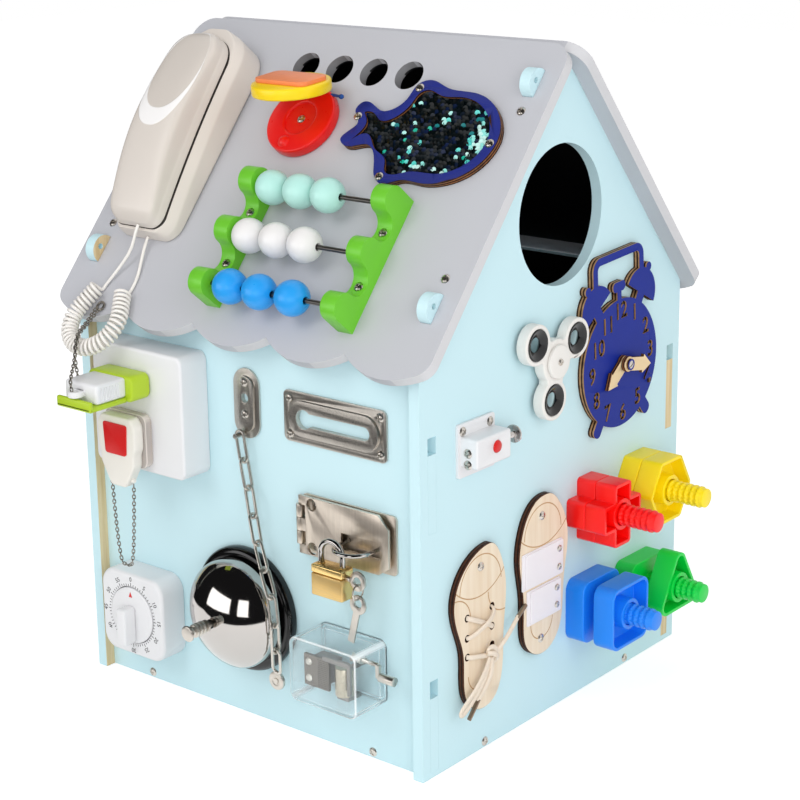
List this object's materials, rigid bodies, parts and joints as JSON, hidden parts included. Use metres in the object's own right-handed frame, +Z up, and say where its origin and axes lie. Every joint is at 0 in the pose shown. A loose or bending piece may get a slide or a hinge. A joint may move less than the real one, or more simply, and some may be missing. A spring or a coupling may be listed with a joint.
{
  "type": "activity house",
  "caption": "toy house with pitched roof whose walls and roof carry a telephone, abacus, latches, plugs, bell, timer, clock and nuts and bolts to play with",
  "frame": {"origin": "centre of the house's underside, on the ground", "axes": "+X right gable wall, -Y front wall, +Z up"},
  "size_m": [0.377, 0.384, 0.4579],
  "materials": {
    "wall_paint": "matte painted plywood",
    "roof_paint": "matte painted plywood",
    "phone_plastic": "satin",
    "cord_plastic": "satin",
    "castanet_red": "gloss paint",
    "castanet_yellow": "gloss paint",
    "ply_blue": "painted plywood with burnt edges",
    "sequins": "sequin cloth",
    "abacus_green": "gloss paint",
    "bead_mint": "gloss paint",
    "bead_white": "gloss paint",
    "bead_blue": "gloss paint",
    "white_plastic": "satin",
    "lime_plastic": "satin",
    "nickel": "satin nickel",
    "chain_steel": "bright",
    "brass": "satin",
    "black_gloss": "gloss",
    "chrome": "polished",
    "clear": "clear acrylic",
    "movement_steel": "brushed",
    "ply": "bare plywood with burnt edges",
    "lace_cotton": "woven",
    "strap_cloth": "woven",
    "toy_red": "moulded",
    "toy_yellow": "moulded",
    "toy_green": "moulded",
    "toy_blue": "moulded",
    "black_plastic": "satin",
    "red_plastic": "gloss"
  },
  "bodies": {
    "house": {"front_wall": "wall_paint", "back_wall": "wall_paint", "left_wall": "wall_paint", "right_wall": "wall_paint", "front_roof": "roof_paint", "back_roof": "roof_paint", "floor_panel": "ply", "wood_screws": "nickel", "phone_cradle": "phone_plastic", "phone_cord": "cord_plastic", "castanet_lower": "castanet_red", "whale_frame": "ply_blue", "sequin_panel": "sequins", "abacus_frame": "abacus_green", "socket_box": "white_plastic", "upper_chain": "chain_steel", "chain_plates": "nickel", "hasp_base": "nickel", "bell_base": "black_gloss", "bell_dome": "chrome", "timer_case": "white_plastic", "music_case": "clear", "music_movement": "movement_steel", "clock_face": "ply_blue", "spinner_hub": "white_plastic", "latch_case": "white_plastic", "shoe_soles": "ply", "shoe_lace": "lace_cotton", "shoe_straps": "strap_cloth", "red_bolt": "toy_red", "yellow_bolt": "toy_yellow", "green_bolt": "toy_green", "blue_bolt": "toy_blue"},
    "handset": {"phone_handset": "phone_plastic"},
    "castanet_lid": {"castanet_upper": "castanet_yellow"},
    "mint_row": {"mint_beads": "bead_mint"},
    "white_row": {"white_beads": "bead_white"},
    "blue_row": {"blue_beads": "bead_blue"},
    "plug_green": {"green_plug": "lime_plastic"},
    "plug_red": {"red_plug": "white_plastic", "lower_chain": "chain_steel"},
    "chain": {"door_chain": "nickel"},
    "strap": {"hasp_strap": "nickel"},
    "lock": {"padlock": "brass"},
    "lock_key": {"padlock_key": "nickel"},
    "key_spare": {"spare_key": "nickel"},
    "plunger": {"bell_plunger": "chrome"},
    "dial": {"timer_dial": "white_plastic"},
    "drum": {"music_drum": "movement_steel"},
    "crank": {"music_crank": "chrome"},
    "hour": {"hour_hand": "ply"},
    "minute": {"minute_hand": "ply"},
    "spinner": {"spinner_body": "white_plastic", "spinner_weights": "black_plastic"},
    "bolt": {"latch_bolt": "chrome"},
    "button": {"latch_button": "red_plastic"},
    "nut_red": {"red_nut": "toy_red"},
    "nut_yellow": {"yellow_nut": "toy_yellow"},
    "nut_green": {"green_nut": "toy_green"},
    "nut_blue": {"blue_nut": "toy_blue"}
  },
  "joints": [
    {"name": "handset_lift", "type": "hinge", "parent": "house", "child": "handset", "pos_m": [-0.109, -0.13654, 0.33236], "axis": [1, 0, 0], "range_deg": [0, 35]},
    {"name": "castanet_clap", "type": "hinge", "parent": "house", "child": "castanet_lid", "pos_m": [-0.0164, -0.04567, 0.42385], "axis": [1, 0, 0], "range_deg": [0, 40], "stiffness_Nm_per_rad": 0.06, "springref_deg": -20.05},
    {"name": "mint_slide", "type": "slide", "parent": "house", "child": "mint_row", "axis": [1, 0, 0], "range_m": [-0.0003, 0.03]},
    {"name": "white_slide", "type": "slide", "parent": "house", "child": "white_row", "axis": [1, 0, 0], "range_m": [-0.0003, 0.0295]},
    {"name": "blue_slide", "type": "slide", "parent": "house", "child": "blue_row", "axis": [1, 0, 0], "range_m": [-0.0045, 0.0193]},
    {"name": "green_pull", "type": "slide", "parent": "house", "child": "plug_green", "axis": [0, -1, 0], "range_m": [0, 0.03]},
    {"name": "red_pull", "type": "slide", "parent": "house", "child": "plug_red", "axis": [0, -1, 0], "range_m": [0, 0.03]},
    {"name": "chain_lift", "type": "hinge", "parent": "house", "child": "chain", "pos_m": [-0.0025, -0.148, 0.2067], "axis": [-1, 0, 0], "range_deg": [0, 30]},
    {"name": "strap_hinge", "type": "hinge", "parent": "house", "child": "strap", "pos_m": [0.0488, -0.1464, 0.153], "axis": [0, 0, -1], "range_deg": [0, 6]},
    {"name": "padlock_swing", "type": "hinge", "parent": "house", "child": "lock", "pos_m": [0.09075, -0.162, 0.1506], "axis": [0, 1, 0], "range_deg": [-8, 8]},
    {"name": "key_turn", "type": "hinge", "parent": "lock", "child": "lock_key", "pos_m": [0.102, -0.162, 0.1318], "axis": [-1, 0, 0], "range_deg": [0, 90]},
    {"name": "spare_swing", "type": "hinge", "parent": "lock_key", "child": "key_spare", "pos_m": [0.111, -0.162, 0.1245], "axis": [-1, 0, 0], "range_deg": [0, 25]},
    {"name": "bell_press", "type": "slide", "parent": "house", "child": "plunger", "axis": [0, 1, 0], "range_m": [0, 0.0025], "stiffness_N_per_m": 300},
    {"name": "timer_turn", "type": "hinge", "parent": "house", "child": "dial", "pos_m": [-0.0985, -0.164, 0.0565], "axis": [0, 1, 0], "range_deg": [0, 330]},
    {"name": "crank_spin", "type": "hinge", "parent": "house", "child": "crank", "pos_m": [0.117, -0.157, 0.076], "axis": [1, 0, 0], "continuous": true},
    {"name": "drum_spin", "type": "hinge", "parent": "house", "child": "drum", "pos_m": [0.0925, -0.156, 0.057], "axis": [0, 0, 1], "continuous": true},
    {"name": "hour_turn", "type": "hinge", "parent": "house", "child": "hour", "pos_m": [0.157, 0.066, 0.232], "axis": [-1, 0, 0], "continuous": true},
    {"name": "minute_turn", "type": "hinge", "parent": "house", "child": "minute", "pos_m": [0.159, 0.066, 0.232], "axis": [-1, 0, 0], "continuous": true},
    {"name": "spinner_spin", "type": "hinge", "parent": "house", "child": "spinner", "pos_m": [0.159, -0.02, 0.253], "axis": [1, 0, 0], "continuous": true},
    {"name": "bolt_draw", "type": "slide", "parent": "house", "child": "bolt", "axis": [0, -1, 0], "range_m": [0, 0.009], "stiffness_N_per_m": 120},
    {"name": "button_press", "type": "slide", "parent": "house", "child": "button", "axis": [-1, 0, 0], "range_m": [0, 0.001], "stiffness_N_per_m": 300},
    {"name": "red_nut_travel", "type": "slide", "parent": "house", "child": "nut_red", "axis": [1, 0, 0], "range_m": [0, 0.028]},
    {"name": "yellow_nut_travel", "type": "slide", "parent": "house", "child": "nut_yellow", "axis": [1, 0, 0], "range_m": [0, 0.028]},
    {"name": "green_nut_travel", "type": "slide", "parent": "house", "child": "nut_green", "axis": [1, 0, 0], "range_m": [-0.009, 0.019]},
    {"name": "blue_nut_travel", "type": "slide", "parent": "house", "child": "nut_blue", "axis": [1, 0, 0], "range_m": [-0.0075, 0.0205]}
  ],
  "couplings": [
    {"joint": "drum_spin", "follows": "crank_spin", "ratio": 0.083333}
  ]
}
